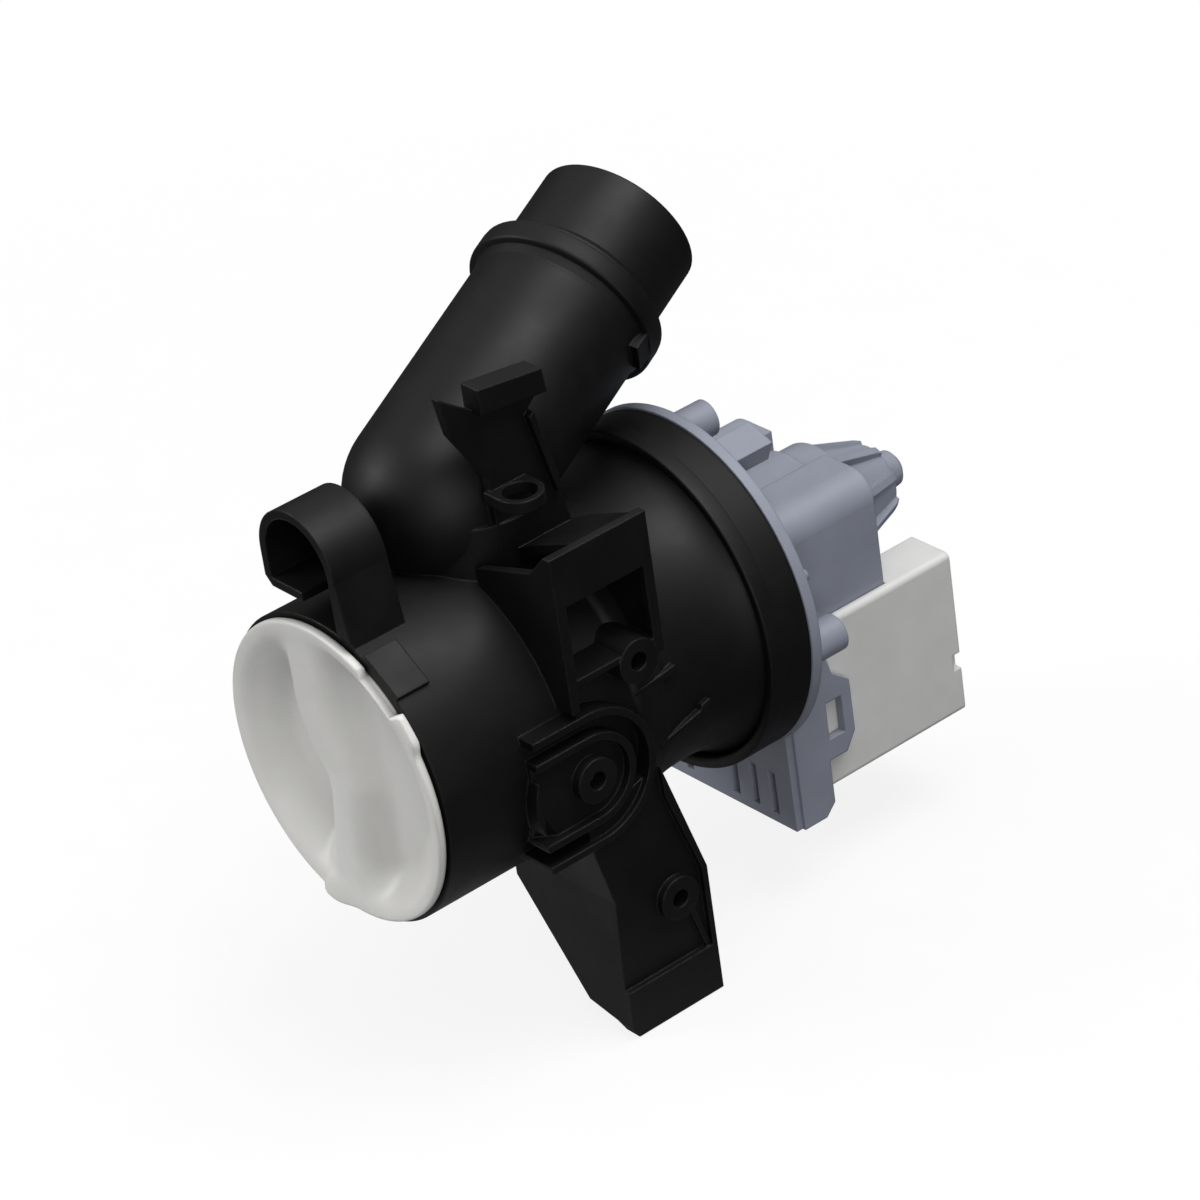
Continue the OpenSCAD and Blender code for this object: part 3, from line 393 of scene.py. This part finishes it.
def spun(outline, steps, centre=(0, 0, 0), axis=(0, 1, 0), start=(1, 0, 0)):
    """Mesh of revolution; outline points are [distance from the axis, place along it]."""
    mesh = bmesh.new()
    axis = Vector(axis).normalized()
    start = Vector(start).normalized()
    middle = Vector(centre) * MM
    ring = [mesh.verts.new(middle + start * (r * MM) + axis * (y * MM)) for r, y in outline]
    edges = [mesh.edges.new(pair) for pair in zip(ring, ring[1:])]
    if outline[0][0] > ON_AXIS:
        edges.append(mesh.edges.new((ring[-1], ring[0])))
    bmesh.ops.spin(mesh, geom=ring + edges, cent=middle, axis=axis, angle=2 * math.pi, steps=steps,
                   use_merge=True)
    bmesh.ops.remove_doubles(mesh, verts=mesh.verts, dist=MERGED)
    return mesh


def rounded_steps(outline, radius, steps=3):
    """Rounds all corners of an outline but its two ends with short curves of about that radius."""
    done = [outline[0]]
    for before, corner, after in zip(outline, outline[1:], outline[2:]):
        turn = Vector(corner)
        into = Vector(before) - turn
        away = Vector(after) - turn
        cut = min(radius, into.length * ROUNDING_SHARE, away.length * ROUNDING_SHARE)
        first = turn + into.normalized() * cut
        last = turn + away.normalized() * cut
        for i in range(steps + 1):
            t = i / steps
            done.append(tuple(first * (1 - t) ** 2 + turn * 2 * t * (1 - t) + last * t ** 2))
    return done + [outline[-1]]


def place(name, mesh, body, slot, node=None):
    """Makes a smooth piece that rides on a body and, with a node, replaces that node."""
    bmesh.ops.recalc_face_normals(mesh, faces=mesh.faces)
    for face in mesh.faces:
        face.smooth = True
    data = bpy.data.meshes.new(name)
    mesh.to_mesh(data)
    mesh.free()
    piece = bpy.data.objects.new(name, data)
    bpy.context.scene.collection.objects.link(piece)
    data.materials.append(FINISHES[slot])
    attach(piece, body)
    if node:
        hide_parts(node)


def smooth_ramp(value, low, high):
    """Rises from 0 at low to 1 at high, level at both ends."""
    t = min(1.0, max(0.0, (value - low) / (high - low)))
    return t * t * (3 - 2 * t)


def curve_through(value, rows):
    """A smooth curve through rows of (place, value), sorted by place; it runs level at both ends."""
    value = min(max(value, rows[0][0]), rows[-1][0])
    i = next(k for k in range(len(rows) - 1) if value <= rows[k + 1][0])
    (start, low), (end, high) = rows[i], rows[i + 1]
    slopes = []
    for k in (i, i + 1):
        if 0 < k < len(rows) - 1:
            slopes.append((rows[k + 1][1] - rows[k - 1][1]) / (rows[k + 1][0] - rows[k - 1][0]))
        else:
            slopes.append(0.0)
    span = end - start
    t = (value - start) / span
    bend = (1 - t) * slopes[0] - t * slopes[1]
    return low + (high - low) * t * t * (3 - 2 * t) + bend * span * t * (1 - t)


# The filter's cap: sizes in millimetres, angles in degrees from +X towards +Z

CAP_R = 37.5
FACE_R = 35.2
SKIRT_R = 35.4
GROOVE_R = 33.75
CAP_INSIDE_R = 31.9
CAP_BACK = 10.6
CAP_CHAMFER = 0.3
CAP_FLOOR = 10.0
GROOVE_FRONT = 4.5
GROOVE_BACK = 6.7
GROOVE_SLOPE = 0.1
RIM_T = 2.2
RIM_ROUNDING = 0.8
FACE_RINGS = 30
# Below 1, the rings of the face lie closer together towards the rim
FACE_SPACING = 0.9
CAP_SEGMENTS = 240
# Room that tells a point of the face, of the rim and of the skirt apart
NEAR = 0.05

# The grip rib, as (height, place of its middle) and (height, half its width)
RIB_MIDDLE = [(-33, -0.4), (-22, -0.5), (-13, 0.7), (-4, 1.7), (2, -0.3), (8, -2.6), (16, -4.3),
              (25, -4.7), (33, -4.6)]
RIB_LEFT_HALF = [(-33, 8.2), (-22, 7.1), (-13, 6.4), (-4, 6.9), (2, 9.2), (8, 9.5), (16, 8.9),
                 (25, 8.2), (33, 8.0)]
RIB_RIGHT_HALF = [(-33, 8.2), (-22, 7.5), (-4, 7.2), (8, 8.2), (16, 8.5), (33, 8.0)]
# The scoops end at this radius; beyond it the face is level with the rim.
SCOOP_R = 35.6
LEFT_SCOOP = 6.4
RIGHT_SCOOP = 5.6
# Distance in from SCOOP_R over which the scoops and the rib's crown come to their full depth
LEFT_RUN = 13.0
RIGHT_RUN = 10.0
CROWN_RUN = 5.0
# Where a scoop begins and is full beside the rib, in half widths of the rib from its middle
LEFT_BEGINS = 0.70
RIGHT_BEGINS = 0.15
SCOOP_FULL = 1.75
# Depth of the rib's crest below the rim, and what is added towards its sides
CREST_DEPTH = 0.3
RIB_CROWN = 0.7

# The notch in the rim
NOTCH_FROM = 43.2
NOTCH_TO = 62.2
# The lug beside the notch: it rises over the first two angles and falls off just before the third
LUG_RISE_FROM = 26.5
LUG_RISE_TO = 32.0
LUG_END = 43.4
LUG_FALL = 1.6
LUG_FRONT = 0.2
LUG_OUT = 1.9
LUG_SKIN = 0.5
# The nub at the rib's lower end: angles where it begins, is full, is still full and ends
NUB_ANGLES = (-110.0, -107.2, -104.0, -90.0)
NUB_FORWARD = 0.8
NUB_OUT = 1.6
NUB_BACK = 1.5
# Distances from the axis: the nub comes forward over the first two and stands out from the third
NUB_RISE_FROM = 30.0
NUB_RISE_TO = 33.5
NUB_OUT_FROM = 36.0


def dish_depth(x, z):
    """Depth of the cap's face below its rim: two finger scoops beside a broad, curved grip rib."""
    middle = curve_through(z, RIB_MIDDLE)
    if x < middle:
        off = (x - middle) / curve_through(z, RIB_LEFT_HALF)
    else:
        off = (x - middle) / curve_through(z, RIB_RIGHT_HALF)
    inside = SCOOP_R - math.hypot(x, z)
    left = LEFT_SCOOP * smooth_ramp(-off, LEFT_BEGINS, SCOOP_FULL) * smooth_ramp(inside, 0.0, LEFT_RUN)
    right = RIGHT_SCOOP * smooth_ramp(off, RIGHT_BEGINS, SCOOP_FULL) * smooth_ramp(inside, 0.0, RIGHT_RUN)
    crown = (CREST_DEPTH + RIB_CROWN * min(1.0, off * off)) * smooth_ramp(inside, 0.0, CROWN_RUN)
    return left + right + crown


def set_ray(vert, x, z, factor):
    """Puts a point at factor times the distance from the axis of (x, z)."""
    vert.co.x = x * factor * MM
    vert.co.z = z * factor * MM


def shape_cap_point(vert):
    """Moves a point of the turned cap to where scoops, notch, lug and nub have it."""
    x, y, z = (c / MM for c in vert.co)
    r = math.hypot(x, z)
    angle = math.degrees(math.atan2(z, x))
    if r < FACE_R + NEAR and y < RIM_T + NEAR:
        vert.co.y = dish_depth(x, z) * MM
    elif r > SKIRT_R + NEAR and y < RIM_T + NEAR and NOTCH_FROM < angle < NOTCH_TO:
        set_ray(vert, x, z, SKIRT_R / r)
    elif r > CAP_R - LUG_SKIN and LUG_FRONT < y < RIM_T + NEAR and LUG_RISE_FROM < angle < NOTCH_FROM:
        rise = min(smooth_ramp(angle, LUG_RISE_FROM, LUG_RISE_TO),
                   smooth_ramp(LUG_END - angle, 0.0, LUG_FALL))
        set_ray(vert, x, z, 1 + LUG_OUT / r * rise)
    begins, full, fades, ends = NUB_ANGLES
    nub = min(smooth_ramp(angle, begins, full), smooth_ramp(-angle, -ends, -fades))
    if nub > 0 and y < NUB_BACK:
        vert.co.y -= NUB_FORWARD * MM * nub * smooth_ramp(r, NUB_RISE_FROM, NUB_RISE_TO)
    if nub > 0 and y < RIM_T + NEAR:
        reach = smooth_ramp(r, NUB_OUT_FROM, CAP_R)
        if reach > 0:
            set_ray(vert, x, z, 1 + NUB_OUT * nub / r * reach)


def make_cap():
    """The turn-out cap: sculpted face, rounded rim with its notch and lug, skirt with the seal's groove."""
    face = [(0.0, 0.0)]
    for i in range(1, FACE_RINGS + 1):
        face.append((FACE_R * (i / FACE_RINGS) ** FACE_SPACING, 0.0))
    corners = [(FACE_R, 0.0), (CAP_R, 0.0), (CAP_R, RIM_T), (SKIRT_R, RIM_T)]
    rim = rounded_steps(corners, RIM_ROUNDING, steps=4)[1:]
    groove = [(SKIRT_R, GROOVE_FRONT), (GROOVE_R, GROOVE_FRONT + GROOVE_SLOPE),
              (GROOVE_R, GROOVE_BACK - GROOVE_SLOPE), (SKIRT_R, GROOVE_BACK)]
    back = [(SKIRT_R, CAP_BACK - CAP_CHAMFER), (SKIRT_R - CAP_CHAMFER, CAP_BACK),
            (CAP_INSIDE_R, CAP_BACK), (CAP_INSIDE_R, CAP_FLOOR), (0.0, CAP_FLOOR)]
    mesh = spun(face + rim + groove + back, CAP_SEGMENTS)
    for vert in mesh.verts:
        shape_cap_point(vert)
    place("cap_moulding", mesh, "filter", "filter_white", "filter_cap")


# Skins that round the casing's turned steps: sizes in millimetres

# A point on the inlet tube's axis, which runs 15.4 degrees from +Y towards -X and rises 20 degrees
TUBE_AT = (-7.7, 45.3, 49.3)
TUBE_WAY = (-0.24954, 0.90595, 0.34202)
TUBE_SIDE = (0.9641, 0.2656, 0.0)
TUBE_SEGMENTS = 144
RING_SEGMENTS = 180
LIP_ROUNDING = 0.55


def make_collar():
    """Rounded collar of the inlet tube, with the soft root below it, and the rounded step above it."""
    root = [(21.3, 50.0), (21.64, 54.0), (21.8, 55.6), (22.05, 56.15), (22.6, 56.4)]
    collar = [(23.6, 56.55), (23.95, 56.85), (24.03, 57.4), (24.03, 61.0), (23.8, 61.7), (23.2, 62.05)]
    step = [(21.4, 62.08), (20.5, 62.4), (20.12, 63.4), (20.06, 65.0)]
    inside = [(19.6, 65.0), (19.6, 50.0)]
    mesh = spun(root + collar + step + inside, TUBE_SEGMENTS, TUBE_AT, TUBE_WAY, TUBE_SIDE)
    place("collar_skin", mesh, "casing", "black_moulding")


def make_bell():
    """Bell between the chamber and the motor's ring: one soft curve instead of straight cones.

    It is a whole ring, so inside the casing it also crosses the bores of the inlet and the outlet.
    """
    outer = [(38.5, 57.0), (38.62, 60.0), (38.7, 63.0), (38.35, 65.6), (37.6, 68.4), (36.9, 71.6),
             (36.5, 75.0), (36.25, 79.0), (36.2, 83.0), (36.5, 86.6), (37.2, 90.0), (38.4, 93.0),
             (39.9, 95.2), (40.79, 96.2)]
    inner = [(40.79, 97.0), (35.0, 97.0), (35.0, 70.0), (37.5, 64.0), (37.5, 57.0)]
    place("bell_skin", spun(outer + inner, RING_SEGMENTS), "casing", "black_moulding")


def make_ring_edge():
    """Rounded lip of the ring that the motor is screwed to."""
    corners = [(40.6, 97.0), (40.6, 93.9), (41.6, 93.38), (43.42, 93.38), (43.42, 98.0), (42.0, 98.0)]
    mesh = spun(rounded_steps(corners, LIP_ROUNDING), RING_SEGMENTS)
    place("ring_lip", mesh, "casing", "black_moulding")


make_cap()
make_collar()
make_bell()
make_ring_edge()


# Camera, light and floor, in metres

# The photograph's camera, worked out from the picture: 54.1 degrees round from the front, 30.3 up
CAMERA_RIGHT = (0.641, 0.757, -0.128)
CAMERA_BACK = (0.700, -0.507, 0.504)
CAMERA_SEAT = (0.8190, -0.5132, 0.5964)
PHOTO_PIXELS = 1200
FOCAL_PIXELS = 5053.8
SENSOR_MM = 36.0
NEAREST = 0.01

# Share of light from the horizon and from straight above, as the part sees the world
HORIZON_LEVEL = 0.03
CEILING_LEVEL = 0.68

FLOOR_HEIGHT = -0.0778
FLOOR_HALF = 3.0
# Middle of the patch that takes shadows and is paler than the rest in what the part mirrors
FLOOR_MIDDLE = (-0.05, 0.02, 0.0)
WHITE = (1, 1, 1, 1)
# The floor's own tones, and the one that the part sees further out
FLOOR_GREY = (0.80, 0.80, 0.80, 1)
FLOOR_PALE = (0.84, 0.84, 0.84, 1)
FLOOR_DARK = (0.03, 0.03, 0.03, 1)


def set_camera():
    """Puts the camera where the photograph's was, with its roll of 8.5 degrees."""
    right = Vector(CAMERA_RIGHT).normalized()
    back = Vector(CAMERA_BACK).normalized()
    up = back.cross(right).normalized()
    right = up.cross(back)
    camera = bpy.data.objects.new("camera", bpy.data.cameras.new("camera"))
    camera.data.sensor_width = SENSOR_MM
    camera.data.lens = FOCAL_PIXELS / PHOTO_PIXELS * SENSOR_MM
    camera.data.clip_start = NEAREST
    turn = Matrix((right, up, back)).transposed().to_4x4()
    camera.matrix_world = Matrix.Translation(Vector(CAMERA_SEAT)) @ turn
    bpy.context.scene.collection.objects.link(camera)
    bpy.context.scene.camera = camera


def soft_lamp(name, seat, target, width, power):
    """A square lamp that faces its target."""
    lamp = bpy.data.lights.new(name, "AREA")
    lamp.shape = "SQUARE"
    lamp.size = width
    lamp.energy = power
    holder = bpy.data.objects.new(name, lamp)
    aim = (Vector(target) - Vector(seat)).to_track_quat("-Z", "Y")
    holder.matrix_world = Matrix.Translation(seat) @ aim.to_matrix().to_4x4()
    bpy.context.scene.collection.objects.link(holder)


def set_world():
    """White for the camera; for the part, a bright ceiling over a dim horizon."""
    world = bpy.data.worlds.new("studio")
    bpy.context.scene.world = world
    world.use_nodes = True
    tree = world.node_tree
    tree.nodes.clear()
    way = add(tree, "ShaderNodeTexCoord").outputs["Generated"]
    height = add(tree, "ShaderNodeSeparateXYZ", {0: way}).outputs["Z"]
    level = spread(tree, height, low=0.15, high=0.75, to_low=HORIZON_LEVEL, to_high=CEILING_LEVEL)
    seen = add(tree, "ShaderNodeLightPath").outputs["Is Camera Ray"]
    strength = add(tree, "ShaderNodeMix", {0: seen, 2: level, 3: 1.0}).outputs[0]
    glow = add(tree, "ShaderNodeBackground", {"Color": WHITE, "Strength": strength})
    out = tree.nodes.new("ShaderNodeOutputWorld")
    tree.links.new(glow.outputs[0], out.inputs[0])


def make_floor():
    """A pale floor that fades into the white world; further out, the part itself sees it dark."""
    mesh = bmesh.new()
    bmesh.ops.create_grid(mesh, x_segments=1, y_segments=1, size=FLOOR_HALF)
    bmesh.ops.translate(mesh, verts=mesh.verts, vec=(0, 0, FLOOR_HEIGHT))
    floor = bpy.data.objects.new("floor", bpy.data.meshes.new("floor"))
    mesh.to_mesh(floor.data)
    mesh.free()
    bpy.context.scene.collection.objects.link(floor)
    made, tree, shader = new_material("pale_floor")
    where = add(tree, "ShaderNodeTexCoord").outputs["Object"]
    speck = noise(tree, where, scale=60.0, detail=4.0)
    seen = add(tree, "ShaderNodeLightPath").outputs["Is Camera Ray"]
    centred = add(tree, "ShaderNodeVectorMath", {0: where, 1: FLOOR_MIDDLE}, operation="SUBTRACT")
    away = add(tree, "ShaderNodeVectorMath", {0: centred.outputs["Vector"]}, operation="LENGTH")
    distance = away.outputs["Value"]
    unseen = maths(tree, "SUBTRACT", 1.0, seen)
    near = blend(tree, spread(tree, speck, low=NOISE_LOW, high=NOISE_HIGH), FLOOR_GREY, FLOOR_PALE)
    darkening = spread(tree, distance, low=0.10, high=0.16, to_low=0.40, to_high=1.0)
    tone = blend(tree, maths(tree, "MULTIPLY", darkening, unseen), near, FLOOR_DARK)
    rough = spread(tree, speck, low=NOISE_LOW, high=NOISE_HIGH, to_low=0.7, to_high=0.8)
    finish_material(tree, shader, tone, rough, speck, depth=2e-5)
    glow = add(tree, "ShaderNodeEmission", {"Color": WHITE, "Strength": 1.0})
    whitening = spread(tree, distance, low=0.20, high=0.55, to_low=0.84, to_high=1.0)
    mix = add(tree, "ShaderNodeMixShader", {0: maths(tree, "MULTIPLY", seen, whitening)})
    tree.links.new(shader.outputs[0], mix.inputs[1])
    tree.links.new(glow.outputs[0], mix.inputs[2])
    out = next(n for n in tree.nodes if n.type == "OUTPUT_MATERIAL")
    tree.links.new(mix.outputs[0], out.inputs[0])
    floor.data.materials.append(made)


set_camera()
set_world()
make_floor()
soft_lamp("key_above", seat=(0.34, 0.30, 1.10), target=(0.0, 0.08, 0.0), width=0.75, power=9.0)
soft_lamp("front_left", seat=(-0.78, -0.92, 0.62), target=(0.0, 0.02, 0.0), width=0.6, power=8.6)
soft_lamp("fill_right", seat=(1.05, -0.45, 0.30), target=(0.0, 0.08, 0.0), width=0.7, power=3.9)
bpy.context.scene.view_settings.view_transform = "Standard"
